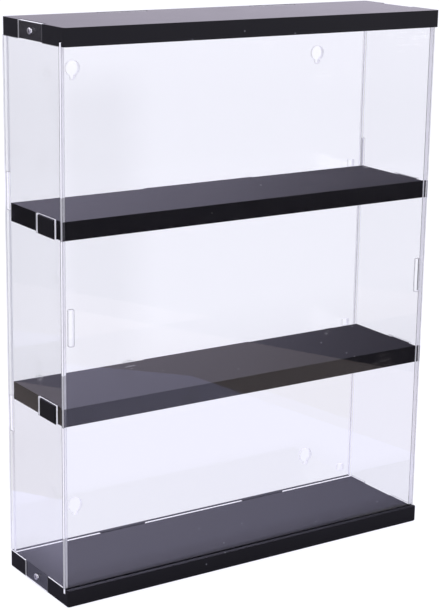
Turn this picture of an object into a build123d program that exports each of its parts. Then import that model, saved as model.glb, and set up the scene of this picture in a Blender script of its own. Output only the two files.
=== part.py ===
from build123d import *
import os

# A three-tier display case: two thick black boards and two black shelves, held
# between clear sheets that lock together with tabs and slots. A single clear
# door slides sideways in a groove along the front of the two boards.
#
# All sizes are in millimetres. The origin is at the middle of the footprint, on
# the surface that the case stands on: X to the right, Y to the back, Z up.

# ---------------------------------------------------------------- driving sizes
case_width = 390.0
case_depth = 109.5
case_height = 500.0

board_thickness = 15.5          # the top and base boards
shelf_thickness = 16.2
side_panel_thickness = 4.0
back_panel_thickness = 4.0
door_thickness = 3.0

lower_tier_height = 147.3
middle_tier_height = 145.5      # the upper tier takes what is left

# How the pieces fit
seat_gap = 0.1                  # where one piece rests on, or is screwed to, another
fit_gap = 0.2                   # between neighbours that are pushed together
tab_play = 0.3                  # around a tab in its slot, and short of its far face

# The door and its grooves
front_lip = 4.75                # board in front of the groove
groove_depth = 4.5
door_side_play = 0.3            # each side of the door in its groove
door_floor_gap = 0.3            # under the door
door_top_gap = 1.2              # over the door
finger_slot_width = 5.0
finger_slot_height = 32.0
finger_slot_inset = 5.5         # from the end of the door
finger_slot_corner = 1.0

# The side panels and the screws through their tabs
panel_setback = 0.2             # side panel behind the groove
side_tab_width = 43.0
screw_radius = 1.5
screw_clearance = 0.2           # around the screw, in the tab
thread_clearance = 0.05         # around the screw, in the board
screw_length = 16.0             # under the head
screw_tip_length = 2.0
screw_head_radius = 2.75
screw_head_height = 1.0
screw_rim_height = 0.4          # straight edge of the head, below its dome
pilot_extra = 1.0               # pilot hole beyond the screw's tip
recess_length = 3.2
recess_width = 0.7
recess_depth = 0.7

# The back panel
back_panel_inset = 4.3          # its outer face, in front of the boards' back edge
back_tab_width = 50.0
back_tab_spacing = 161.0
side_finger_height = 32.4
side_finger_spacing = 201.8
keyhole_radius = 6.9
keyhole_slot_radius = 2.6
keyhole_height = 17.3
keyhole_inset_x = 62.8          # from the end of the case
keyhole_inset_z = 32.5          # middle of the keyhole, from the nearest board
cable_hole_size = 7.0
cable_hole_inset = 18.0         # middle of the hole, from the right end of the case
base_cable_hole_rise = 9.3      # over the base board

# The shelves
shelf_setback = 0.2             # front edge, behind the groove
end_tenon_length = 27.6
end_tenon_setback = 10.6        # behind the shelf's front edge
end_tenon_proud = 1.5           # beyond the outside of the side panel
end_slot_front_play = 0.5
end_slot_back_play = 4.7        # the slot is longer than the tenon at its back
back_tenon_width = 118.0
back_tenon_proud = 0.5

# Edges
board_edge_radius = 0.6
board_corner_radius = 3.0       # the top board's upright corners
foot_corner_radius = 2.5        # the base's upright corners
foot_edge_radius = 1.5          # round the base's underside
tenon_chamfer = 0.8

# ---------------------------------------------------------------- derived places
half_width = case_width / 2
half_depth = case_depth / 2
mid_height = case_height / 2

groove_front = -half_depth + front_lip
groove_width = door_thickness + 2 * door_side_play
groove_back = groove_front + groove_width
groove_middle = (groove_front + groove_back) / 2
door_back = groove_back - door_side_play

panel_front = groove_back + panel_setback
panel_middle = (panel_front + half_depth) / 2
panel_inner_x = half_width - side_panel_thickness
panel_bottom = board_thickness + seat_gap
panel_top = case_height - board_thickness - seat_gap

back_outer = half_depth - back_panel_inset
back_inner = back_outer - back_panel_thickness

shelf_undersides = {
    "lower_shelf": board_thickness + lower_tier_height,
    "upper_shelf": board_thickness + lower_tier_height + shelf_thickness + middle_tier_height,
}
shelf_front = groove_back + shelf_setback
shelf_back = back_inner - fit_gap
shelf_end_x = panel_inner_x - fit_gap
end_tenon_front = shelf_front + end_tenon_setback
end_tenon_back = end_tenon_front + end_tenon_length
end_slot_front = end_tenon_front - end_slot_front_play
end_slot_back = end_tenon_back + end_slot_back_play

finger_heights = (mid_height - side_finger_spacing / 2, mid_height + side_finger_spacing / 2)
back_tab_places = (-back_tab_spacing / 2, back_tab_spacing / 2)
keyhole_places = [
    (x, z)
    for x in (-half_width + keyhole_inset_x, half_width - keyhole_inset_x)
    for z in (board_thickness + keyhole_inset_z, case_height - board_thickness - keyhole_inset_z)
]

os.makedirs("parts", exist_ok=True)


# ---------------------------------------------------------------- end boards
# The base board has its groove in its top face, and the top board in its underside.
for name, underside, facing in (
    ("base_board", 0.0, 1),
    ("top_board", case_height - board_thickness, -1),
):
    inner_face = underside + board_thickness if facing > 0 else underside
    screw_height = underside + board_thickness / 2
    notch_depth = side_panel_thickness + seat_gap
    with BuildPart() as end_board:
        with BuildSketch(Plane.XY.offset(underside)):
            Rectangle(case_width, case_depth)
        extrude(amount=board_thickness)
        if facing > 0:
            fillet(end_board.edges().filter_by(Axis.Z), radius=foot_corner_radius)
            fillet(end_board.faces().sort_by(Axis.Z)[0].edges(), radius=foot_edge_radius)
        else:
            fillet(end_board.edges().filter_by(Axis.Z), radius=board_corner_radius)
            fillet(end_board.faces().sort_by(Axis.Z)[0].edges(), radius=board_edge_radius)
        fillet(end_board.faces().sort_by(Axis.Z)[-1].edges(), radius=board_edge_radius)

        # door groove, open at both ends
        with BuildSketch(Plane.XY.offset(inner_face)):
            with Locations((0, groove_middle)):
                Rectangle(case_width, groove_width)
        extrude(amount=-facing * groove_depth, mode=Mode.SUBTRACT)

        # notches for the side panels' tabs, and slots for the back panel's tabs
        with BuildSketch(Plane.XY.offset(underside)):
            for side in (-1, 1):
                with Locations((side * (half_width - notch_depth / 2), panel_middle)):
                    Rectangle(notch_depth, side_tab_width + 2 * tab_play)
            for x in back_tab_places:
                with Locations((x, (back_inner + back_outer) / 2)):
                    Rectangle(back_tab_width + 2 * tab_play, back_panel_thickness + 2 * fit_gap)
        extrude(amount=board_thickness, mode=Mode.SUBTRACT)

        # pilot holes for the screws
        for side in (-1, 1):
            with BuildSketch(Plane.YZ.offset(side * (half_width - notch_depth))):
                with Locations((panel_middle, screw_height)):
                    Circle(screw_radius + thread_clearance)
            pilot_depth = screw_length - notch_depth + pilot_extra
            extrude(amount=-side * pilot_depth, mode=Mode.SUBTRACT)
    end_board.part.label = name
    export_step(end_board.part, f"parts/{name}.step")


# ---------------------------------------------------------------- shelves
# Each shelf has a tenon at each end, through the side panels, and one wide
# tenon at the back, through the back panel.
for name, underside in shelf_undersides.items():
    with BuildPart() as shelf:
        with BuildSketch(Plane.XY.offset(underside)):
            with Locations((0, (shelf_front + shelf_back) / 2)):
                Rectangle(2 * shelf_end_x, shelf_back - shelf_front)
            with Locations((0, (end_tenon_front + end_tenon_back) / 2)):
                Rectangle(2 * (half_width + end_tenon_proud), end_tenon_length)
            with Locations((0, (back_inner + back_outer + back_tenon_proud) / 2 - fit_gap)):
                Rectangle(back_tenon_width, back_panel_thickness + back_tenon_proud + 2 * fit_gap)
        extrude(amount=shelf_thickness)
        fillet(shelf.edges().filter_by(Axis.X).group_by(Axis.Y)[0], radius=board_edge_radius)
        chamfer(shelf.faces().sort_by(Axis.X)[0].edges(), length=tenon_chamfer)
        chamfer(shelf.faces().sort_by(Axis.X)[-1].edges(), length=tenon_chamfer)
    shelf.part.label = name
    export_step(shelf.part, f"parts/{name}.step")


# ---------------------------------------------------------------- side panels
for name, side in (("left_side_panel", -1), ("right_side_panel", 1)):
    with BuildPart() as side_panel:
        with BuildSketch(Plane.YZ.offset(side * panel_inner_x)):
            with Locations((panel_middle, mid_height)):
                Rectangle(half_depth - panel_front, panel_top - panel_bottom)
                Rectangle(side_tab_width, case_height - 2 * tab_play)
            # slots for the shelves' end tenons
            for underside in shelf_undersides.values():
                with Locations(((end_slot_front + end_slot_back) / 2, underside + shelf_thickness / 2)):
                    Rectangle(
                        end_slot_back - end_slot_front,
                        shelf_thickness + 2 * tab_play,
                        mode=Mode.SUBTRACT,
                    )
            # slots for the back panel's fingers
            for z in finger_heights:
                with Locations(((back_inner + back_outer) / 2, z)):
                    Rectangle(
                        back_panel_thickness + 2 * fit_gap,
                        side_finger_height + 2 * tab_play,
                        mode=Mode.SUBTRACT,
                    )
            # holes for the screws, in the middle of each tab
            for z in (board_thickness / 2, case_height - board_thickness / 2):
                with Locations((panel_middle, z)):
                    Circle(screw_radius + screw_clearance, mode=Mode.SUBTRACT)
        extrude(amount=side * side_panel_thickness)
    side_panel.part.label = name
    export_step(side_panel.part, f"parts/{name}.step")


# ---------------------------------------------------------------- back panel
with BuildPart() as back_panel:
    with BuildSketch(Plane.XZ.offset(-back_outer)):
        with Locations((0, mid_height)):
            Rectangle(2 * (panel_inner_x - fit_gap), panel_top - panel_bottom)
        for x in back_tab_places:
            with Locations((x, mid_height)):
                Rectangle(back_tab_width, case_height - 2 * tab_play)
        for z in finger_heights:
            with Locations((0, z)):
                Rectangle(case_width, side_finger_height)
        # slots for the shelves' back tenons
        for underside in shelf_undersides.values():
            with Locations((0, underside + shelf_thickness / 2)):
                Rectangle(
                    back_tenon_width + 2 * tab_play,
                    shelf_thickness + 2 * tab_play,
                    mode=Mode.SUBTRACT,
                )
        # keyholes to hang the case on four wall screws, each a round hole over a slot
        for x, z in keyhole_places:
            circle_z = z + keyhole_height / 2 - keyhole_radius
            slot_end_z = z - keyhole_height / 2 + keyhole_slot_radius
            with Locations((x, circle_z)):
                Circle(keyhole_radius, mode=Mode.SUBTRACT)
            with Locations((x, slot_end_z)):
                Circle(keyhole_slot_radius, mode=Mode.SUBTRACT)
            with Locations((x, (circle_z + slot_end_z) / 2)):
                Rectangle(2 * keyhole_slot_radius, circle_z - slot_end_z, mode=Mode.SUBTRACT)
        # a square cable hole in the right rear corner of each tier
        cable_hole_floors = [board_thickness + base_cable_hole_rise]
        cable_hole_floors += [z + shelf_thickness for z in shelf_undersides.values()]
        for z in cable_hole_floors:
            with Locations((half_width - cable_hole_inset, z + cable_hole_size / 2)):
                Rectangle(cable_hole_size, cable_hole_size, mode=Mode.SUBTRACT)
    extrude(amount=back_panel_thickness)
back_panel.part.label = "back_panel"
export_step(back_panel.part, "parts/back_panel.step")


# ---------------------------------------------------------------- sliding door
door_bottom = board_thickness - groove_depth + door_floor_gap
door_top = case_height - board_thickness + groove_depth - door_top_gap
with BuildPart() as front_door:
    with BuildSketch(Plane.XZ.offset(-door_back)):
        with Locations((0, (door_bottom + door_top) / 2)):
            Rectangle(case_width, door_top - door_bottom)
        slot_middle_x = half_width - finger_slot_inset - finger_slot_width / 2
        with Locations((-slot_middle_x, mid_height), (slot_middle_x, mid_height)):
            RectangleRounded(
                finger_slot_width, finger_slot_height, finger_slot_corner, mode=Mode.SUBTRACT
            )
    extrude(amount=door_thickness)
front_door.part.label = "front_door"
export_step(front_door.part, "parts/front_door.step")


# ---------------------------------------------------------------- screws
# One cross-head screw through each tab of a side panel, into the end of a board.
for name, side, height in (
    ("screw_base_left", -1, board_thickness / 2),
    ("screw_base_right", 1, board_thickness / 2),
    ("screw_top_left", -1, case_height - board_thickness / 2),
    ("screw_top_right", 1, case_height - board_thickness / 2),
):
    seat_x = half_width + seat_gap
    rim_x = seat_x + screw_rim_height
    crown_x = seat_x + screw_head_height
    tip_x = seat_x - screw_length
    with BuildPart() as screw:
        with BuildSketch(Plane.XZ.offset(-panel_middle)):
            with BuildLine():
                Polyline(
                    (side * crown_x, height),
                    (side * tip_x, height),
                    (side * (tip_x + screw_tip_length), height + screw_radius),
                    (side * seat_x, height + screw_radius),
                    (side * seat_x, height + screw_head_radius),
                    (side * rim_x, height + screw_head_radius),
                )
                TangentArc(
                    (side * crown_x, height),
                    (side * rim_x, height + screw_head_radius),
                    tangent=(0, 1),
                )
            make_face()
        revolve(axis=Axis((0, panel_middle, height), (1, 0, 0)))
        with BuildSketch(Plane.YZ.offset(side * crown_x)):
            with Locations((panel_middle, height)):
                Rectangle(recess_length, recess_width)
                Rectangle(recess_width, recess_length)
        extrude(amount=-side * recess_depth, mode=Mode.SUBTRACT)
    screw.part.label = name
    export_step(screw.part, f"parts/{name}.step")
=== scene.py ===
from math import radians

import bmesh
import bpy
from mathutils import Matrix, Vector


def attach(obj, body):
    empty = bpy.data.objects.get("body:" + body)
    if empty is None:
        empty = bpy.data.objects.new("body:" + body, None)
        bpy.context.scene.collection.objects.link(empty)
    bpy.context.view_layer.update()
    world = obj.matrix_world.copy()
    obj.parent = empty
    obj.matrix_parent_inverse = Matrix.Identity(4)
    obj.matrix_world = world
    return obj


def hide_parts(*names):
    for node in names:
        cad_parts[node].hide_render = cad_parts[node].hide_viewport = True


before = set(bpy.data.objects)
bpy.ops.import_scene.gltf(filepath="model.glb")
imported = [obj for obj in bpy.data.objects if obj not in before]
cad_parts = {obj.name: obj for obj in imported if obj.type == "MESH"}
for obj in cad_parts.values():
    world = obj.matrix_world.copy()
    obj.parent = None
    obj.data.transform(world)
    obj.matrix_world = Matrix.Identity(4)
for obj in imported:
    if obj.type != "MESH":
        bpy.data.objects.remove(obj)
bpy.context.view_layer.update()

# A three-tier display case of black boards and clear sheets, with a clear door that
# slides along its front. Every size below is in millimetres.
MM = 0.001


# ---------------------------------------------------------------- bench tools
def select_none():
    bpy.ops.object.select_all(action="DESELECT")


def select_only(piece):
    select_none()
    piece.select_set(True)
    bpy.context.view_layer.objects.active = piece


def settle(piece):
    """Puts the piece's place and size into its mesh, so that its object sits at the origin."""
    select_only(piece)
    bpy.ops.object.transform_apply(location=True, rotation=True, scale=True)


def blank(name, low, high):
    """A rectangular blank from its low corner to its high corner."""
    select_none()
    middle = [(a + b) / 2 * MM for a, b in zip(low, high)]
    bpy.ops.mesh.primitive_cube_add(size=1, location=middle)
    piece = bpy.context.object
    piece.name = name
    piece.data.name = name
    piece.scale = [(b - a) * MM for a, b in zip(low, high)]
    settle(piece)
    return piece


def rod(name, middle, radius, length, axis, facets=48):
    """A round bar with its middle at a point, along one of the axes."""
    turn = {"X": (0, radians(90), 0), "Y": (radians(90), 0, 0), "Z": (0, 0, 0)}[axis]
    select_none()
    bpy.ops.mesh.primitive_cylinder_add(
        vertices=facets,
        radius=radius * MM,
        depth=length * MM,
        location=[v * MM for v in middle],
        rotation=turn,
    )
    piece = bpy.context.object
    piece.name = name
    settle(piece)
    return piece


def apply_modifier(piece, modifier):
    select_only(piece)
    bpy.ops.object.modifier_apply(modifier=modifier.name)


def join_shapes(piece, other, operation):
    """Takes the other piece's shape out of this one, or welds it on, and clears it away."""
    tool = piece.modifiers.new("saw or weld", "BOOLEAN")
    tool.operation = operation
    tool.solver = "EXACT"
    tool.object = other
    apply_modifier(piece, tool)
    bpy.data.objects.remove(other)


def cut(piece, *cutters):
    for cutter in cutters:
        join_shapes(piece, cutter, "DIFFERENCE")


def soften_edges(piece, chosen, width, segments):
    """Rounds the edges of the piece that the test chooses by their two ends."""
    select_only(piece)
    bpy.ops.object.mode_set(mode="EDIT")
    bpy.ops.mesh.select_mode(type="EDGE")
    bpy.ops.mesh.select_all(action="DESELECT")
    mesh = bmesh.from_edit_mesh(piece.data)
    for edge in mesh.edges:
        ends = [vertex.co / MM for vertex in edge.verts]
        edge.select_set(bool(chosen(*ends)))
    bmesh.update_edit_mesh(piece.data)
    bpy.ops.mesh.bevel(offset=width * MM, segments=segments, profile=0.5, affect="EDGES")
    bpy.ops.object.mode_set(mode="OBJECT")


def polish(piece, width, segments=2):
    """Cleans up after the saw, breaks every sharp edge and shades the flats flat."""
    select_only(piece)
    bpy.ops.object.mode_set(mode="EDIT")
    bpy.ops.mesh.select_all(action="SELECT")
    bpy.ops.mesh.remove_doubles(threshold=0.002 * MM)
    bpy.ops.mesh.dissolve_limited(angle_limit=radians(0.3))
    bpy.ops.mesh.normals_make_consistent(inside=False)
    bpy.ops.object.mode_set(mode="OBJECT")
    edge = piece.modifiers.new("broken edge", "BEVEL")
    edge.width = width * MM
    edge.segments = segments
    edge.limit_method = "ANGLE"
    edge.angle_limit = radians(40)
    edge.harden_normals = True
    bpy.ops.object.shade_smooth()
    apply_modifier(piece, edge)


# ---------------------------------------------------------------- sizes
HALF_WIDTH = 195.0
FRONT, BACK = -54.75, 54.75
HEIGHT = 500.0
BOARD = 15.5
SHELF = 16.2
SHEET = 4.0
INNER_X = HALF_WIDTH - SHEET
# gaps: where a piece rests on another, is pushed to it, and passes through it
SEAT = 0.1
FIT = 0.2
PLAY = 0.3

BASE_CORNER, TOP_CORNER = 2.5, 3.0
BASE_FOOT_ROUND = 1.5
GROOVE_FRONT, GROOVE_BACK = -50.0, -46.4
GROOVE_DEPTH = 4.5
PILOT_RADIUS, PILOT_LENGTH = 1.55, 14.0

DOOR_FRONT, DOOR_BACK = -49.7, -46.7
DOOR_BOTTOM, DOOR_TOP = 11.3, 487.8
FINGER_SLOT_X = 187.0
FINGER_SLOT, FINGER_SLOT_HEIGHT, FINGER_SLOT_CORNER = 5.0, 32.0, 1.0

PANEL_FRONT = -46.2
PANEL_MIDDLE = (PANEL_FRONT + BACK) / 2
SIDE_TAB = 43.0
SCREW_HOLE_RADIUS = 1.7

BACK_OUTER, BACK_INNER = 50.45, 46.45
BACK_TABS = (-80.5, 80.5)
BACK_TAB = 50.0
FINGER_HEIGHTS = (149.1, 350.9)
FINGER = 32.4
KEYHOLES = [(x, z) for x in (-132.2, 132.2) for z in (48.0, 452.0)]
KEYHOLE_RADIUS, KEYHOLE_SLOT_RADIUS, KEYHOLE_HEIGHT = 6.9, 2.6, 17.3
CABLE_HOLE, CABLE_HOLE_X = 7.0, 177.0
BASE_CABLE_HOLE_RISE = 9.3

SHELVES = {"lower": 162.8, "upper": 324.5}
SHELF_FRONT, SHELF_BACK = -46.2, 46.25
TENON_FRONT, TENON_BACK = -35.6, -8.0
TENON_SLOT_FRONT, TENON_SLOT_BACK = -36.1, -3.3
TENON_PROUD, TENON_CHAMFER = 1.5, 0.8
BACK_TENON, BACK_TENON_PROUD = 118.0, 0.5
# each board's top, and how far above it the front corners still show it behind them
BOARD_TOPS_SEEN = ((15.5, 47.0), (179.0, 30.0), (340.7, 20.5))

SCREW_HEAD_RADIUS, SCREW_HEAD_HEIGHT, SCREW_DOME = 2.75, 1.0, 0.6
RECESS_ARM, RECESS_HALF_WIDTH, RECESS_DEPTH = 1.6, 0.35, 0.7
SHANK_RADIUS, SHANK_LENGTH, SHANK_IN_HEAD = 1.45, 14.2, 0.2

# how wide the broken edges are
BOARD_EDGE, SHELF_EDGE, SHEET_EDGE, BACK_EDGE, SCREW_EDGE = 0.35, 0.3, 0.3, 0.24, 0.1
# how far a cutter reaches past the piece, and how long a drill is
OVERCUT, DRILL = 1.0, 8.0
# how near to a plane an edge counts as lying on it
TOUCH = 0.01


# ---------------------------------------------------------------- node tools
def feed(tree, value, socket):
    """Links a socket to another node's output, or sets it to a number or a colour."""
    if isinstance(value, bpy.types.NodeSocket):
        tree.links.new(value, socket)
    elif isinstance(value, tuple):
        socket.default_value = (*value, 1)
    else:
        socket.default_value = value


def math_node(tree, operation, a, b=None, clamp=False):
    node = tree.nodes.new("ShaderNodeMath")
    node.operation = operation
    node.use_clamp = clamp
    for value, socket in zip((a, b), node.inputs):
        if value is not None:
            feed(tree, value, socket)
    return node.outputs["Value"]


def product(tree, *values):
    result = values[0]
    for value in values[1:]:
        result = math_node(tree, "MULTIPLY", result, value)
    return result


def largest(tree, *values):
    result = values[0]
    for value in values[1:]:
        result = math_node(tree, "MAXIMUM", result, value)
    return result


def remap(tree, value, low, high, to_low=0.0, to_high=1.0):
    """Stretches the range from low to high onto another one, and holds still outside it."""
    node = tree.nodes.new("ShaderNodeMapRange")
    tree.links.new(value, node.inputs["Value"])
    node.inputs["From Min"].default_value = low
    node.inputs["From Max"].default_value = high
    node.inputs["To Min"].default_value = to_low
    node.inputs["To Max"].default_value = to_high
    return node.outputs["Result"]


def mix(tree, kind, share, a, b):
    node = tree.nodes.new("ShaderNodeMix")
    node.data_type = kind
    tree.links.new(share, node.inputs["Factor"])
    feed(tree, a, node.inputs["A"])
    feed(tree, b, node.inputs["B"])
    return node.outputs["Result"]


def mix_number(tree, share, a, b):
    return mix(tree, "FLOAT", share, a, b)


def mix_colour(tree, share, a, b):
    return mix(tree, "RGBA", share, a, b)


def mix_shader(tree, share, a, b):
    node = tree.nodes.new("ShaderNodeMixShader")
    tree.links.new(share, node.inputs["Fac"])
    tree.links.new(a, node.inputs[1])
    tree.links.new(b, node.inputs[2])
    return node.outputs["Shader"]


def see_through(tree, tint=(1.0, 1.0, 1.0)):
    node = tree.nodes.new("ShaderNodeBsdfTransparent")
    feed(tree, tint, node.inputs["Color"])
    return node.outputs["BSDF"]


def split_axes(tree, vector):
    """The vector's three numbers, as (x, y, z)."""
    split = tree.nodes.new("ShaderNodeSeparateXYZ")
    tree.links.new(vector, split.inputs["Vector"])
    return [split.outputs[axis] for axis in "XYZ"]


def met_gloss(tree, ray):
    """1 for light that has met a glossy surface on its way."""
    return math_node(tree, "GREATER_THAN", ray.outputs["Glossy Depth"], 0.5)


# ---------------------------------------------------------------- surface patterns
def shader_group(name, inputs, output):
    """An empty node group with named sockets, as (tree, inputs, outputs)."""
    tree = bpy.data.node_groups.new(name, "ShaderNodeTree")
    for label, kind, value in inputs:
        socket = tree.interface.new_socket(name=label, in_out="INPUT", socket_type=kind)
        if value is not None:
            socket.default_value = value
    tree.interface.new_socket(name=output, in_out="OUTPUT", socket_type="NodeSocketFloat")
    return tree, tree.nodes.new("NodeGroupInput"), tree.nodes.new("NodeGroupOutput")


def make_dust_group():
    """Sparse specks of dust, each a soft dot of its own size."""
    tree, given, out = shader_group(
        "dust_specks",
        [
            ("Vector", "NodeSocketVector", None),
            ("Spacing", "NodeSocketFloat", 60.0),
            ("Size", "NodeSocketFloat", 0.06),
            ("Share", "NodeSocketFloat", 0.3),
        ],
        "Mask",
    )
    rim_sharpness = 60.0
    cells = tree.nodes.new("ShaderNodeTexVoronoi")
    tree.links.new(given.outputs["Vector"], cells.inputs["Vector"])
    tree.links.new(given.outputs["Spacing"], cells.inputs["Scale"])
    split = tree.nodes.new("ShaderNodeSeparateColor")
    tree.links.new(cells.outputs["Color"], split.inputs["Color"])
    kept = math_node(tree, "LESS_THAN", split.outputs["Red"], given.outputs["Share"])
    radius = math_node(tree, "MULTIPLY", split.outputs["Green"], given.outputs["Size"])
    inside = math_node(tree, "SUBTRACT", radius, cells.outputs["Distance"])
    dot = math_node(tree, "MULTIPLY", inside, rim_sharpness, clamp=True)
    tree.links.new(math_node(tree, "MULTIPLY", dot, kept), out.inputs["Mask"])
    return tree


def make_hairline_group():
    """Fine wiping scratches: thin broken lines along one direction."""
    tree, given, out = shader_group(
        "hairlines",
        [
            ("Vector", "NodeSocketVector", None),
            ("Stretch", "NodeSocketVector", (6.0, 260.0, 260.0)),
            ("Turn", "NodeSocketVector", (0.0, 0.3, 0.2)),
            ("Share", "NodeSocketFloat", 0.1),
        ],
        "Mask",
    )
    line_width = 0.025
    patches_per_metre = 22.0
    patch_threshold, patch_sharpness = 0.62, 9.0
    place = tree.nodes.new("ShaderNodeMapping")
    tree.links.new(given.outputs["Vector"], place.inputs["Vector"])
    tree.links.new(given.outputs["Turn"], place.inputs["Rotation"])
    tree.links.new(given.outputs["Stretch"], place.inputs["Scale"])
    lines = tree.nodes.new("ShaderNodeTexVoronoi")
    lines.feature = "DISTANCE_TO_EDGE"
    tree.links.new(place.outputs["Vector"], lines.inputs["Vector"])
    lines.inputs["Scale"].default_value = 1.0
    patches = tree.nodes.new("ShaderNodeTexNoise")
    tree.links.new(given.outputs["Vector"], patches.inputs["Vector"])
    patches.inputs["Scale"].default_value = patches_per_metre
    thin = remap(tree, lines.outputs["Distance"], 0.0, line_width, 1.0, 0.0)
    limit = math_node(tree, "SUBTRACT", 1.0, given.outputs["Share"])
    limit = math_node(tree, "MULTIPLY", limit, patch_threshold)
    some = math_node(tree, "SUBTRACT", patches.outputs["Fac"], limit)
    some = math_node(tree, "MULTIPLY", some, patch_sharpness, clamp=True)
    tree.links.new(math_node(tree, "MULTIPLY", thin, some), out.inputs["Mask"])
    return tree


def make_smudge_group():
    """Broad faint smears, as hands and a polishing cloth leave."""
    tree, given, out = shader_group(
        "smudges",
        [
            ("Vector", "NodeSocketVector", None),
            ("Scale", "NodeSocketFloat", 9.0),
        ],
        "Value",
    )
    smear = tree.nodes.new("ShaderNodeTexNoise")
    smear.inputs["Detail"].default_value = 5.0
    smear.inputs["Roughness"].default_value = 0.62
    smear.inputs["Distortion"].default_value = 0.8
    tree.links.new(given.outputs["Vector"], smear.inputs["Vector"])
    tree.links.new(given.outputs["Scale"], smear.inputs["Scale"])
    tree.links.new(remap(tree, smear.outputs["Fac"], 0.3, 0.7), out.inputs["Value"])
    return tree


def make_cut_mark_group():
    """The fine ribs that a cutter leaves across the thickness of a sheet or board."""
    tree, given, out = shader_group(
        "cut_marks",
        [
            ("Vector", "NodeSocketVector", None),
            ("Pitch", "NodeSocketFloat", 900.0),
        ],
        "Height",
    )
    ribs = tree.nodes.new("ShaderNodeTexNoise")
    ribs.inputs["Detail"].default_value = 3.0
    tree.links.new(given.outputs["Vector"], ribs.inputs["Vector"])
    tree.links.new(given.outputs["Pitch"], ribs.inputs["Scale"])
    tree.links.new(ribs.outputs["Fac"], out.inputs["Height"])
    return tree


dust_specks = make_dust_group()
hairlines = make_hairline_group()
smudges = make_smudge_group()
cut_marks = make_cut_mark_group()


# ---------------------------------------------------------------- materials
ACRYLIC_IOR = 1.49
FINE_GRAIN, COARSE_GRAIN = 0.00002, 0.00004  # how deep the marks are, in metres


def new_material(name):
    """An empty material, as (material, tree, Principled node, output node, Object coordinates)."""
    material = bpy.data.materials.new(name)
    material.use_nodes = True
    tree = material.node_tree
    shader, output = tree.nodes["Principled BSDF"], tree.nodes["Material Output"]
    place = tree.nodes.new("ShaderNodeTexCoord").outputs["Object"]
    return material, tree, shader, output, place


def use_group(tree, group, vector, **values):
    """Puts a pattern into a material, and gives the pattern's one output."""
    node = tree.nodes.new("ShaderNodeGroup")
    node.node_tree = group
    tree.links.new(vector, node.inputs["Vector"])
    for label, value in values.items():
        node.inputs[label].default_value = value
    return node.outputs[0]


def bump(tree, shader, height, depth):
    node = tree.nodes.new("ShaderNodeBump")
    node.inputs["Distance"].default_value = depth
    node.inputs["Strength"].default_value = 1.0
    tree.links.new(height, node.inputs["Height"])
    tree.links.new(node.outputs["Normal"], shader.inputs["Normal"])


def make_black_acrylic():
    """Glossy black acrylic: a deep surface with faint smears, dust and wiping marks."""
    material, tree, shader, _, place = new_material("glossy_black_acrylic")
    deep_black, pale_grey = (0.0055, 0.005, 0.007), (0.14, 0.14, 0.16)
    line_strength, rougher_by = 0.15, 0.25
    dust = use_group(tree, dust_specks, place, Spacing=95.0, Size=0.11, Share=0.25)
    lines = use_group(tree, hairlines, place, Share=0.03)
    smear = use_group(tree, smudges, place, Scale=7.0)
    marks = largest(tree, dust, product(tree, lines, line_strength))
    feed(tree, mix_colour(tree, marks, deep_black, pale_grey), shader.inputs["Base Color"])
    gloss = remap(tree, smear, 0.0, 1.0, 0.07, 0.13)
    gloss = math_node(tree, "ADD", gloss, product(tree, marks, rougher_by), clamp=True)
    feed(tree, gloss, shader.inputs["Roughness"])
    shader.inputs["IOR"].default_value = ACRYLIC_IOR
    bump(tree, shader, marks, FINE_GRAIN)
    return material


def make_black_edge():
    """The sawn edge of a black board: matt, with the saw's fine ribs and a little dust.

    The top board's edge is painted a little paler all over, as painted light that it catches more
    than the boards below.
    """
    material, tree, shader, _, place = new_material("sawn_black_acrylic")
    sawn_black, pale_grey = (0.0125, 0.0117, 0.0148), (0.12, 0.12, 0.14)
    top_board_painted_light = 0.045
    dust = use_group(tree, dust_specks, place, Spacing=95.0, Size=0.12, Share=0.08)
    ribs = use_group(tree, cut_marks, place, Pitch=700.0)
    smear = use_group(tree, smudges, place, Scale=16.0)
    _, _, z = split_axes(tree, place)
    below_top_board = (HEIGHT - BOARD - 1.0) * MM
    on_top_board = math_node(tree, "GREATER_THAN", z, below_top_board)
    # painted light: the top board's edge is mixed a little towards pale grey all over, besides the
    # real dust specks
    marks = largest(tree, dust, product(tree, on_top_board, top_board_painted_light))
    feed(tree, mix_colour(tree, marks, sawn_black, pale_grey), shader.inputs["Base Color"])
    feed(tree, remap(tree, smear, 0.0, 1.0, 0.42, 0.56), shader.inputs["Roughness"])
    shader.inputs["IOR"].default_value = ACRYLIC_IOR
    shader.inputs["Specular IOR Level"].default_value = 0.06
    bump(tree, shader, ribs, COARSE_GRAIN)
    return material


def make_clear_acrylic():
    """Clear acrylic that lamps shine through, with a little dust and a few wiping marks.

    Light that a black board has mirrored passes through it unbent, so that the board
    doesn't show the sheets again. Light that is already inside a sheet, which is after
    an odd number of passes through its faces, still bends on its way out.
    """
    material, tree, shader, output, place = new_material("clear_acrylic")
    tint = (0.99, 0.99, 1.0)
    feed(tree, tint, shader.inputs["Base Color"])
    shader.inputs["Transmission Weight"].default_value = 1.0
    shader.inputs["IOR"].default_value = ACRYLIC_IOR
    dust = use_group(tree, dust_specks, place, Spacing=60.0, Size=0.06, Share=0.2)
    lines = use_group(tree, hairlines, place, Share=0.015)
    marks = largest(tree, dust, lines)
    feed(tree, remap(tree, marks, 0.0, 1.0, 0.0, 0.25), shader.inputs["Roughness"])
    bump(tree, shader, marks, FINE_GRAIN)
    ray = tree.nodes.new("ShaderNodeLightPath")
    inside = math_node(tree, "MODULO", ray.outputs["Transmission Depth"], 2.0)
    mirrored = math_node(tree, "SUBTRACT", met_gloss(tree, ray), inside, clamp=True)
    unbent = largest(tree, ray.outputs["Is Shadow Ray"], mirrored)
    surface = mix_shader(tree, unbent, shader.outputs["BSDF"], see_through(tree, tint))
    tree.links.new(surface, output.inputs["Surface"])
    return material


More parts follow.
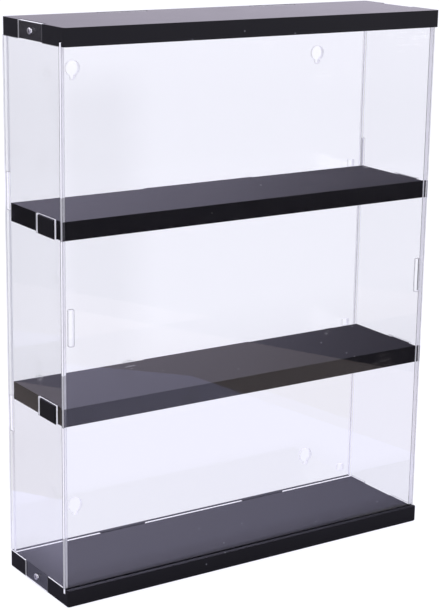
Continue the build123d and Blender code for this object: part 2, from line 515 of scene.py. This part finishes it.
def near(tree, value, middle, reach):
    """1 where a place in metres lies within reach of the middle, which are in millimetres."""
    node = tree.nodes.new("ShaderNodeMath")
    node.operation = "COMPARE"
    tree.links.new(value, node.inputs[0])
    node.inputs[1].default_value = middle * MM
    node.inputs[2].default_value = reach * MM
    return node.outputs["Value"]


def distance_from(tree, value, middle):
    """How far a place in metres lies from the middle, which is in millimetres."""
    return math_node(tree, "ABSOLUTE", math_node(tree, "SUBTRACT", value, middle * MM))


def dark_at_front_corners(tree, x, y, z):
    """Painted darkness for the shelves' tenons behind the front corners' edges, and for the boards'
    tops seen above them.
    """
    tenon_behind_panel, tenon_behind_door, top_behind_either = 0.97, 0.55, 0.5
    tenon = largest(tree, *(near(tree, z, low + SHELF / 2, SHELF / 2) for low in SHELVES.values()))
    top = largest(tree, *(near(tree, z, low + rise / 2, rise / 2) for low, rise in BOARD_TOPS_SEEN))
    top = product(tree, top, math_node(tree, "LESS_THAN", x, 0.0))
    door = near(tree, y, (DOOR_FRONT + DOOR_BACK) / 2, 1.65)
    left_panel = near(tree, x, -HALF_WIDTH + SHEET / 2, 2.1)
    right_panel = near(tree, x, HALF_WIDTH - 1.8, 1.2)
    panel = product(tree, near(tree, y, PANEL_FRONT, 0.3), largest(tree, left_panel, right_panel))
    by_tenon = math_node(
        tree,
        "ADD",
        product(tree, panel, tenon_behind_panel),
        product(tree, door, tenon_behind_door),
    )
    by_top = product(tree, math_node(tree, "ADD", panel, door), top_behind_either)
    return largest(tree, product(tree, tenon, by_tenon), product(tree, top, by_top))


def dark_at_finger_slot(tree, x, y, z):
    """The unlit room behind the far wall of the door's right finger slot."""
    darkness = 0.7
    wall = near(tree, x, FINGER_SLOT_X + FINGER_SLOT / 2, 0.1)
    straight_part = near(tree, z, HEIGHT / 2, FINGER_SLOT_HEIGHT / 2 - 0.5)
    return product(tree, wall, straight_part, near(tree, y, DOOR_BACK - 1.0, 1.15), darkness)


def dark_at_side_tabs(tree, y, z):
    """Painted darkness for the black notches seen through the edges beside the tabs at the ends of
    the side panels.
    """
    darkness, margin = 0.72, 0.35
    side = near(tree, distance_from(tree, y, PANEL_MIDDLE), SIDE_TAB / 2, margin)
    from_middle = distance_from(tree, z, HEIGHT / 2)
    level = near(tree, from_middle, (HEIGHT - BOARD) / 2 - margin, BOARD / 2 - margin)
    return product(tree, side, level, darkness)


def dark_behind_edge(tree, place):
    """How dark the cut edges are painted, from 0 to 1, where something dark stands right behind them
    and would show through.
    """
    x, y, z = split_axes(tree, place)
    return largest(
        tree,
        dark_at_front_corners(tree, x, y, z),
        dark_at_finger_slot(tree, x, y, z),
        dark_at_side_tabs(tree, y, z),
    )


def hide_from_gloss(tree, shader, output):
    """Lets mirrored light pass the surface, so that the black boards don't show it again."""
    ray = tree.nodes.new("ShaderNodeLightPath")
    surface = mix_shader(tree, met_gloss(tree, ray), shader.outputs["BSDF"], see_through(tree))
    tree.links.new(surface, output.inputs["Surface"])


# the colour of the painted darkness on the cut edges and chamfers, where dark parts stand behind them
EDGE_IN_SHADE = (0.03, 0.028, 0.035)


def make_cut_edge():
    """The cut edge of a clear sheet, pale and satin, with a painted glow as if it collected light
    from the whole sheet.

    The painted glow is brighter from inside the sheet, and the edge gets painted darkness where dark
    parts stand behind it.
    """
    material, tree, shader, output, place = new_material("clear_acrylic_cut_edge")
    ribs = use_group(tree, cut_marks, place, Pitch=900.0)
    dark = dark_behind_edge(tree, place)
    pale = mix_colour(tree, ribs, (0.64, 0.63, 0.70), (0.78, 0.77, 0.82))
    feed(tree, mix_colour(tree, dark, pale, EDGE_IN_SHADE), shader.inputs["Base Color"])
    inside = tree.nodes.new("ShaderNodeNewGeometry").outputs["Backfacing"]
    # painted light: the edge glows by emission, more from inside the sheet, and hardly at all where
    # dark parts show through
    painted_edge_glow = mix_colour(tree, inside, (0.30, 0.30, 0.33), (0.56, 0.56, 0.60))
    painted_edge_glow = mix_colour(tree, dark, painted_edge_glow, (0.01, 0.01, 0.012))
    feed(tree, painted_edge_glow, shader.inputs["Emission Color"])
    shader.inputs["Emission Strength"].default_value = 1.0
    feed(tree, remap(tree, ribs, 0.3, 0.7, 0.18, 0.32), shader.inputs["Roughness"])
    shader.inputs["IOR"].default_value = ACRYLIC_IOR
    bump(tree, shader, ribs, COARSE_GRAIN)
    hide_from_gloss(tree, shader, output)
    return material


def make_chamfer():
    """The narrow scraped chamfer round a clear sheet, which bends light away and looks greyer."""
    material, tree, shader, output, place = new_material("clear_acrylic_chamfer")
    ribs = use_group(tree, cut_marks, place, Pitch=1400.0)
    grey = mix_colour(tree, ribs, (0.24, 0.24, 0.27), (0.36, 0.36, 0.39))
    colour = mix_colour(tree, dark_behind_edge(tree, place), grey, EDGE_IN_SHADE)
    feed(tree, colour, shader.inputs["Base Color"])
    feed(tree, remap(tree, ribs, 0.3, 0.7, 0.2, 0.34), shader.inputs["Roughness"])
    shader.inputs["IOR"].default_value = ACRYLIC_IOR
    bump(tree, shader, ribs, FINE_GRAIN)
    hide_from_gloss(tree, shader, output)
    return material


def make_screw_steel():
    """Nickel-plated steel with painted shade round the recess: grey in the middle of the head and
    bright at its rim.
    """
    material, tree, shader, _, place = new_material("nickel_plated_steel")
    smear = use_group(tree, smudges, place, Scale=420.0)
    painted_shade_radius, bright_radius = 1.1 * MM, 1.5 * MM
    recess_painted_shade, bright = (0.30, 0.29, 0.31), (0.98, 0.97, 0.98)
    _, y, z = split_axes(tree, place)
    aside = math_node(tree, "SUBTRACT", y, PANEL_MIDDLE * MM)
    from_middle = distance_from(tree, z, HEIGHT / 2)
    rise = math_node(tree, "SUBTRACT", from_middle, (HEIGHT - BOARD) / 2 * MM)
    squares = math_node(tree, "ADD", product(tree, aside, aside), product(tree, rise, rise))
    radius = math_node(tree, "SQRT", squares)
    # painted shade: grey round the recess, fading to bright towards the rim of the head, with faint
    # smears
    rim = remap(tree, radius, painted_shade_radius, bright_radius)
    painted_shade_fade_and_smear = product(tree, rim, remap(tree, smear, 0.0, 1.0, 0.85, 1.0))
    feed(tree, mix_colour(tree, painted_shade_fade_and_smear, recess_painted_shade, bright), shader.inputs["Base Color"])
    shader.inputs["Metallic"].default_value = 1.0
    feed(tree, remap(tree, smear, 0.0, 1.0, 0.5, 0.38), shader.inputs["Roughness"])
    bump(tree, shader, use_group(tree, cut_marks, place, Pitch=2500.0), FINE_GRAIN)
    return material


black_acrylic = make_black_acrylic()
black_edge = make_black_edge()
clear_face = make_clear_acrylic()
clear_edge = make_cut_edge()
clear_chamfer = make_chamfer()
screw_steel = make_screw_steel()


# how squarely a face looks along its sheet's or board's thin axis, from 0 to 1
BROAD_FACE, CUT_FACE = 0.98, 0.05


def dress(piece, node, body, slot, *materials, face_axis=None):
    """Gives the piece its materials, stands it for its node and fixes it to its body.

    With a face_axis, the first material goes on the broad faces, the second on the cut
    edges round them, and the last one on the chamfers in between.
    """
    for material in materials:
        piece.data.materials.append(material)
    if face_axis is not None:
        chamfer = len(materials) - 1
        for face in piece.data.polygons:
            lean = abs(face.normal[face_axis])
            face.material_index = 0 if lean > BROAD_FACE else chamfer if lean > CUT_FACE else 1
    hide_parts(node)
    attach(piece, body)


# ---------------------------------------------------------------- boards
def make_board(name, underside, groove_up):
    """A top or base board: the door's groove, the side tabs' notches and the back tabs' slots."""
    top = underside + BOARD
    board = blank(name, (-HALF_WIDTH, FRONT, underside), (HALF_WIDTH, BACK, top))
    corner = BASE_CORNER if groove_up else TOP_CORNER
    soften_edges(board, lambda a, b: abs(a.z - b.z) > 1, corner, segments=6)
    if groove_up:
        foot = underside + TOUCH
        soften_edges(board, lambda a, b: max(a.z, b.z) < foot, BASE_FOOT_ROUND, segments=5)
    notch = SHEET + SEAT
    tab = SIDE_TAB / 2 + PLAY
    low, high = underside - OVERCUT, top + OVERCUT
    if groove_up:
        groove = (top - GROOVE_DEPTH, high)
    else:
        groove = (low, underside + GROOVE_DEPTH)
    cutters = [
        blank(
            "groove cutter",
            (-HALF_WIDTH - OVERCUT, GROOVE_FRONT, groove[0]),
            (HALF_WIDTH + OVERCUT, GROOVE_BACK, groove[1]),
        )
    ]
    for side in (-1, 1):
        ends = sorted((side * (HALF_WIDTH - notch), side * (HALF_WIDTH + OVERCUT)))
        cutters.append(
            blank(
                "notch cutter",
                (ends[0], PANEL_MIDDLE - tab, low),
                (ends[1], PANEL_MIDDLE + tab, high),
            )
        )
        pilot_x = INNER_X + OVERCUT - PILOT_LENGTH / 2
        cutters.append(
            rod(
                "pilot cutter",
                (side * pilot_x, PANEL_MIDDLE, underside + BOARD / 2),
                PILOT_RADIUS,
                PILOT_LENGTH,
                "X",
                facets=24,
            )
        )
    for x in BACK_TABS:
        half = BACK_TAB / 2 + PLAY
        cutters.append(
            blank(
                "slot cutter",
                (x - half, BACK_INNER - FIT, low),
                (x + half, BACK_OUTER + FIT, high),
            )
        )
    cut(board, *cutters)
    polish(board, BOARD_EDGE, segments=3)
    return board


board_finish = (black_acrylic, black_edge)
base_board = make_board("black_base_board", 0.0, True)
top_board = make_board("black_top_board", HEIGHT - BOARD, False)
dress(base_board, "base_board", "case", "black_board", *board_finish, face_axis=2)
dress(top_board, "top_board", "case", "black_board", *board_finish, face_axis=2)


# ---------------------------------------------------------------- shelves
def make_shelf(name, underside):
    """A shelf cut from one blank, with a tenon left at each end and one at the back."""
    top = underside + SHELF
    end = HALF_WIDTH + TENON_PROUD
    back = BACK_OUTER + BACK_TENON_PROUD
    shelf = blank(name, (-end, SHELF_FRONT, underside), (end, back, top))
    low, high = underside - OVERCUT, top + OVERCUT
    front, back = SHELF_FRONT - OVERCUT, BACK + OVERCUT
    shoulder = INNER_X - FIT
    for side in (-1, 1):
        ends = sorted((side * shoulder, side * (end + OVERCUT)))
        cut(
            shelf,
            blank("front corner", (ends[0], front, low), (ends[1], TENON_FRONT, high)),
            blank("back corner", (ends[0], TENON_BACK, low), (ends[1], back, high)),
        )
        backs = sorted((side * BACK_TENON / 2, side * (end + OVERCUT)))
        cut(shelf, blank("back strip", (backs[0], SHELF_BACK, low), (backs[1], back, high)))
    tip = end - TOUCH
    soften_edges(shelf, lambda a, b: min(abs(a.x), abs(b.x)) > tip, TENON_CHAMFER, segments=1)
    polish(shelf, SHELF_EDGE, segments=3)
    return shelf


for level, underside in SHELVES.items():
    shelf = make_shelf(f"black_{level}_shelf", underside)
    dress(shelf, f"{level}_shelf", "case", "black_board", *board_finish, face_axis=2)


# ---------------------------------------------------------------- clear sheets
# the strips at the sheets' ends that are cut back to their tabs, as (low, high)
TAB_LEVELS = (
    (-OVERCUT, BOARD + SEAT),
    (HEIGHT - BOARD - SEAT, HEIGHT + OVERCUT),
)


def make_side_panel(name, side):
    """A side panel: tabs at its top and bottom, and slots for the shelves and the back panel."""
    xs = sorted((side * INNER_X, side * HALF_WIDTH))
    outside = (xs[0] - OVERCUT, xs[1] + OVERCUT)
    panel = blank(name, (xs[0], PANEL_FRONT, PLAY), (xs[1], BACK, HEIGHT - PLAY))
    for low, high in TAB_LEVELS:
        cut(
            panel,
            blank(
                "front corner",
                (outside[0], PANEL_FRONT - OVERCUT, low),
                (outside[1], PANEL_MIDDLE - SIDE_TAB / 2, high),
            ),
            blank(
                "back corner",
                (outside[0], PANEL_MIDDLE + SIDE_TAB / 2, low),
                (outside[1], BACK + OVERCUT, high),
            ),
        )
    for underside in SHELVES.values():
        cut(
            panel,
            blank(
                "shelf slot",
                (outside[0], TENON_SLOT_FRONT, underside - PLAY),
                (outside[1], TENON_SLOT_BACK, underside + SHELF + PLAY),
            ),
        )
    for z in FINGER_HEIGHTS:
        cut(
            panel,
            blank(
                "finger slot",
                (outside[0], BACK_INNER - FIT, z - FINGER / 2 - PLAY),
                (outside[1], BACK_OUTER + FIT, z + FINGER / 2 + PLAY),
            ),
        )
    sheet_x = side * (HALF_WIDTH - SHEET / 2)
    for z in (BOARD / 2, HEIGHT - BOARD / 2):
        place = (sheet_x, PANEL_MIDDLE, z)
        cut(panel, rod("screw hole", place, SCREW_HOLE_RADIUS, DRILL, "X", facets=32))
    polish(panel, SHEET_EDGE)
    return panel


def make_keyhole_cutters(x, z):
    """A round hole for a screw's head over a narrow slot for its shank."""
    middle = (BACK_INNER + BACK_OUTER) / 2
    circle_z = z + KEYHOLE_HEIGHT / 2 - KEYHOLE_RADIUS
    slot_end = z - KEYHOLE_HEIGHT / 2 + KEYHOLE_SLOT_RADIUS
    left, right = x - KEYHOLE_SLOT_RADIUS, x + KEYHOLE_SLOT_RADIUS
    return (
        rod("keyhole head", (x, middle, circle_z), KEYHOLE_RADIUS, DRILL, "Y", facets=64),
        rod("keyhole foot", (x, middle, slot_end), KEYHOLE_SLOT_RADIUS, DRILL, "Y", facets=40),
        blank(
            "keyhole slot",
            (left, middle - DRILL / 2, slot_end),
            (right, middle + DRILL / 2, circle_z),
        ),
    )


def strips_between(low, high, middles, width):
    """The stretches from low to high that lie outside the tabs, as (low, high) pairs."""
    ends = [low]
    for middle in middles:
        ends += [middle - width / 2, middle + width / 2]
    ends.append(high)
    return zip(ends[::2], ends[1::2])


def make_back_panel():
    """The back panel: tabs, side fingers, shelf slots, keyholes and cable holes."""
    panel = blank(
        "clear_back_sheet",
        (-HALF_WIDTH, BACK_INNER, PLAY),
        (HALF_WIDTH, BACK_OUTER, HEIGHT - PLAY),
    )
    front, back = BACK_INNER - OVERCUT, BACK_OUTER + OVERCUT
    body_x = INNER_X - FIT
    past_end = HALF_WIDTH + OVERCUT
    for side in (-1, 1):
        ends = sorted((side * body_x, side * past_end))
        for low, high in strips_between(-OVERCUT, HEIGHT + OVERCUT, FINGER_HEIGHTS, FINGER):
            cut(panel, blank("side strip", (ends[0], front, low), (ends[1], back, high)))
    for low, high in TAB_LEVELS:
        for left, right in strips_between(-past_end, past_end, BACK_TABS, BACK_TAB):
            cut(panel, blank("end strip", (left, front, low), (right, back, high)))
    for underside in SHELVES.values():
        reach = BACK_TENON / 2 + PLAY
        cut(
            panel,
            blank(
                "shelf slot",
                (-reach, front, underside - PLAY),
                (reach, back, underside + SHELF + PLAY),
            ),
        )
    for x, z in KEYHOLES:
        cut(panel, *make_keyhole_cutters(x, z))
    left, right = CABLE_HOLE_X - CABLE_HOLE / 2, CABLE_HOLE_X + CABLE_HOLE / 2
    shelf_tops = [underside + SHELF for underside in SHELVES.values()]
    for z in (BOARD + BASE_CABLE_HOLE_RISE, *shelf_tops):
        cut(panel, blank("cable hole", (left, front, z), (right, back, z + CABLE_HOLE)))
    polish(panel, BACK_EDGE)
    return panel


def make_door():
    """The sliding door, with a finger slot near each end."""
    door = blank(
        "clear_door_sheet",
        (-HALF_WIDTH, DOOR_FRONT, DOOR_BOTTOM),
        (HALF_WIDTH, DOOR_BACK, DOOR_TOP),
    )
    half_width, half_height = FINGER_SLOT / 2, FINGER_SLOT_HEIGHT / 2
    low, high = HEIGHT / 2 - half_height, HEIGHT / 2 + half_height
    for side in (-1, 1):
        x = side * FINGER_SLOT_X
        slot = blank(
            "finger slot",
            (x - half_width, DOOR_FRONT - OVERCUT, low),
            (x + half_width, DOOR_BACK + OVERCUT, high),
        )
        soften_edges(slot, lambda a, b: abs(a.y - b.y) > 1, FINGER_SLOT_CORNER, segments=4)
        cut(door, slot)
    polish(door, SHEET_EDGE)
    return door


sheet_finish = (clear_face, clear_edge, clear_chamfer)
for name, side in (("left", -1), ("right", 1)):
    panel = make_side_panel(f"clear_{name}_sheet", side)
    dress(panel, f"{name}_side_panel", "case", "clear_sheet", *sheet_finish, face_axis=0)
dress(make_back_panel(), "back_panel", "case", "clear_sheet", *sheet_finish, face_axis=1)
dress(make_door(), "front_door", "door", "clear_sheet", *sheet_finish, face_axis=1)


# ---------------------------------------------------------------- screws
def make_screw(name, side, height):
    """A cross-head screw: a domed head with a cross in it, and a round shank."""
    seat = HALF_WIDTH + SEAT
    crown = seat + SCREW_HEAD_HEIGHT
    middle = (side * (seat + crown) / 2, PANEL_MIDDLE, height)
    head = rod(name, middle, SCREW_HEAD_RADIUS, SCREW_HEAD_HEIGHT, "X")
    rim = crown - TOUCH
    soften_edges(head, lambda a, b: min(abs(a.x), abs(b.x)) > rim, SCREW_DOME, segments=5)
    ends = sorted((side * (crown - RECESS_DEPTH), side * (crown + OVERCUT)))
    for reach_y, reach_z in ((RECESS_ARM, RECESS_HALF_WIDTH), (RECESS_HALF_WIDTH, RECESS_ARM)):
        cut(
            head,
            blank(
                "cross cutter",
                (ends[0], PANEL_MIDDLE - reach_y, height - reach_z),
                (ends[1], PANEL_MIDDLE + reach_y, height + reach_z),
            ),
        )
    middle = (side * (seat + SHANK_IN_HEAD - SHANK_LENGTH / 2), PANEL_MIDDLE, height)
    shank = rod("shank", middle, SHANK_RADIUS, SHANK_LENGTH, "X", facets=32)
    join_shapes(head, shank, "UNION")
    polish(head, SCREW_EDGE)
    return head


for level, height in (("base", BOARD / 2), ("top", HEIGHT - BOARD / 2)):
    for name, side in (("left", -1), ("right", 1)):
        screw = make_screw(f"cross_head_screw_{level}_{name}", side, height)
        dress(screw, f"screw_{level}_{name}", "case", "screw_steel", screw_steel)


# ---------------------------------------------------------------- floor, world and lamps
def light_paths(tree):
    """Three masks for light: seen straight, seen through clear sheet, and mirrored by gloss."""
    ray = tree.nodes.new("ShaderNodeLightPath")
    mirrored = met_gloss(tree, ray)
    scattered = math_node(tree, "GREATER_THAN", ray.outputs["Diffuse Depth"], 0.5)
    other = largest(tree, mirrored, scattered)
    through = math_node(tree, "SUBTRACT", ray.outputs["Is Transmission Ray"], other, clamp=True)
    return ray.outputs["Is Camera Ray"], through, mirrored


def glow(tree, colour, strength):
    node = tree.nodes.new("ShaderNodeEmission")
    feed(tree, colour, node.inputs["Color"])
    feed(tree, strength, node.inputs["Strength"])
    return node.outputs["Emission"]


def background(tree, colour, strength):
    node = tree.nodes.new("ShaderNodeBackground")
    feed(tree, colour, node.inputs["Color"])
    feed(tree, strength, node.inputs["Strength"])
    return node.outputs["Background"]


def along(tree, x, y, direction):
    """How far a place on the floor lies along a direction."""
    return math_node(tree, "ADD", product(tree, x, direction[0]), product(tree, y, direction[1]))


def past_any(tree, x, y, lines):
    """1 past any of the straight lines, each a unit normal and a distance in metres."""
    return largest(
        tree,
        *(
            math_node(tree, "GREATER_THAN", along(tree, x, y, normal), distance)
            for normal, distance in lines
        ),
    )


PAPER_EDGES = (((0.747, -0.665), 0.575), ((0.988, -0.152), 0.349), ((-0.846, 0.534), 0.36))
BENCH_RIMS = (((0.907, -0.421), 0.653), ((-0.846, 0.534), 0.684))


def make_bench_reflection(tree, place):
    """A painted reflection that only mirrored light meets on the floor: white paper on a wooden
    bench, and the room past its rims.
    """
    x, y, _ = split_axes(tree, place)
    gap_x = math_node(tree, "SUBTRACT", math_node(tree, "ABSOLUTE", x), HALF_WIDTH * MM)
    gap_y = math_node(tree, "SUBTRACT", math_node(tree, "ABSOLUTE", y), BACK * MM)
    # painted shadow: the mirrored paper and wood are darker near the case
    painted_case_shadow = remap(tree, largest(tree, gap_x, gap_y), 0.015, 0.06, 0.42, 1.0)
    paper = glow(tree, (0.68, 0.66, 0.93), painted_case_shadow)
    # painted shade: the mirrored wood grows darker towards the left
    wood_painted_shade = product(tree, painted_case_shadow, remap(tree, x, -0.5, -0.15, 0.5, 1.0))
    wood = glow(tree, (0.42, 0.36, 0.345), wood_painted_shade)
    bench = mix_shader(tree, past_any(tree, x, y, PAPER_EDGES), paper, wood)
    return mix_shader(tree, past_any(tree, x, y, BENCH_RIMS), bench, see_through(tree))


VIEW_RIGHT = (0.834, -0.552)  # the way that the camera calls right, on the floor
CAMERA_DISTANCE = 1.3  # from the camera to the case's middle, along Y


def floor_veil(tree, place):
    """How bright the floor glows through the sheets: painted paler far off, with a patch of painted
    shade at the left.
    """
    near_tone, far_tone, patch_depth = 0.99, 1.125, 0.09
    x, y, _ = split_axes(tree, place)
    depth = math_node(tree, "ADD", y, CAMERA_DISTANCE)
    aside = math_node(tree, "DIVIDE", along(tree, x, y, VIEW_RIGHT), depth)
    right_side = remap(tree, aside, -0.072, -0.045, 1.0, 0.0)
    left = product(tree, right_side, remap(tree, aside, -0.112, -0.096))
    reach = product(tree, remap(tree, y, 0.4, 0.7), remap(tree, y, 2.6, 3.4, 1.0, 0.0))
    # painted shade: a soft grey patch at the left, seen through the sheets
    patch = product(tree, left, reach, patch_depth)
    return math_node(tree, "SUBTRACT", remap(tree, y, 0.35, 0.75, near_tone, far_tone), patch)


def make_floor_paint():
    """Pale floor paint that looks white, with a faint shadow of the case."""
    material, tree, shader, output, place = new_material("pale_floor")
    feed(tree, (0.86, 0.86, 0.87), shader.inputs["Base Color"])
    shader.inputs["Roughness"].default_value = 0.9
    shader.inputs["Specular IOR Level"].default_value = 0.1
    straight, through, mirrored = light_paths(tree)
    strength = mix_number(tree, through, 1.16, floor_veil(tree, place))
    white = glow(tree, (0.95, 0.952, 1.03), strength)
    seen = largest(tree, product(tree, straight, 0.85), product(tree, through, 0.97))
    painted = mix_shader(tree, seen, shader.outputs["BSDF"], white)
    both = mix_shader(tree, mirrored, painted, make_bench_reflection(tree, place))
    tree.links.new(both, output.inputs["Surface"])
    return material


def make_floor():
    select_none()
    bpy.ops.mesh.primitive_circle_add(
        vertices=96,
        radius=6.0,
        fill_type="NGON",
        location=(0, 0, -0.0005),
    )
    floor = bpy.context.object
    floor.name = "floor"
    settle(floor)
    floor.data.materials.append(make_floor_paint())


make_floor()


def mirrored_room(tree, across, rise):
    """The room that gloss meets: pale walls at eye level, dim above, and unlit below."""
    wall = remap(tree, across, 0.45, 0.63, 0.64, 0.76)
    far_right = remap(tree, across, 0.55, 0.64, 1.0, 0.6)
    dim = product(tree, remap(tree, across, 0.45, 0.62, 0.487, 0.212), far_right)
    high = remap(tree, rise, 0.115, 0.165)
    upper = mix_number(tree, high, wall, dim)
    lower = remap(tree, rise, -0.14, 0.0, 0.012, 0.56)
    strength = mix_number(tree, math_node(tree, "GREATER_THAN", rise, 0.0), lower, upper)
    walls = background(tree, (0.95, 0.89, 1.06), strength)
    ceiling = background(tree, (0.94, 0.89, 1.16), strength)
    return mix_shader(tree, high, walls, ceiling)


def make_world():
    """A white surround, with a plain pale light for the matt surfaces and a room for gloss."""
    world = bpy.data.worlds.new("studio")
    bpy.context.scene.world = world
    world.use_nodes = True
    tree = world.node_tree
    tree.nodes.remove(tree.nodes["Background"])
    direction = tree.nodes.new("ShaderNodeTexCoord").outputs["Generated"]
    across, _, rise = split_axes(tree, direction)
    straight, through, mirrored = light_paths(tree)
    ambient = background(tree, (0.93, 0.93, 1.0), 0.9)
    lit = mix_shader(tree, mirrored, ambient, mirrored_room(tree, across, rise))
    veil = remap(tree, across, 0.45, 0.62, 1.2, 1.31)
    white = background(tree, (0.95, 0.95, 1.0), mix_number(tree, through, 1.1, veil))
    surround = mix_shader(tree, largest(tree, straight, through), lit, white)
    tree.links.new(surround, tree.nodes["World Output"].inputs["Surface"])


make_world()


def softbox(name, place, size, power):
    """A rectangular lamp that faces the middle of the case."""
    select_none()
    bpy.ops.object.light_add(type="AREA", location=place)
    lamp = bpy.context.object
    lamp.name = name
    lamp.data.shape = "RECTANGLE"
    lamp.data.size, lamp.data.size_y = size
    lamp.data.energy = power
    aim = Vector((0, 0, HEIGHT / 2 * MM))
    lamp.rotation_euler = (aim - Vector(place)).to_track_quat("-Z", "Y").to_euler()


softbox("overhead_softbox", (0.0, 0.5, 1.9), (2.2, 1.6), 18)
softbox("left_softbox", (-1.9, -1.0, 1.1), (1.2, 1.6), 4.5)
softbox("right_softbox", (1.8, -1.4, 1.0), (1.0, 1.4), 9)

# ---------------------------------------------------------------- camera
camera = bpy.data.objects.new("camera", bpy.data.cameras.new("camera"))
bpy.context.scene.collection.objects.link(camera)
camera.location = (-0.8545, -1.2725, 0.6393)
camera.rotation_euler = (radians(75.220), radians(-0.893), radians(-33.489))
camera.data.sensor_width = 36
camera.data.lens = 102.1
camera.data.clip_start = 0.05
camera.data.clip_end = 60
bpy.context.scene.camera = camera

bpy.context.scene.view_settings.view_transform = "Standard"
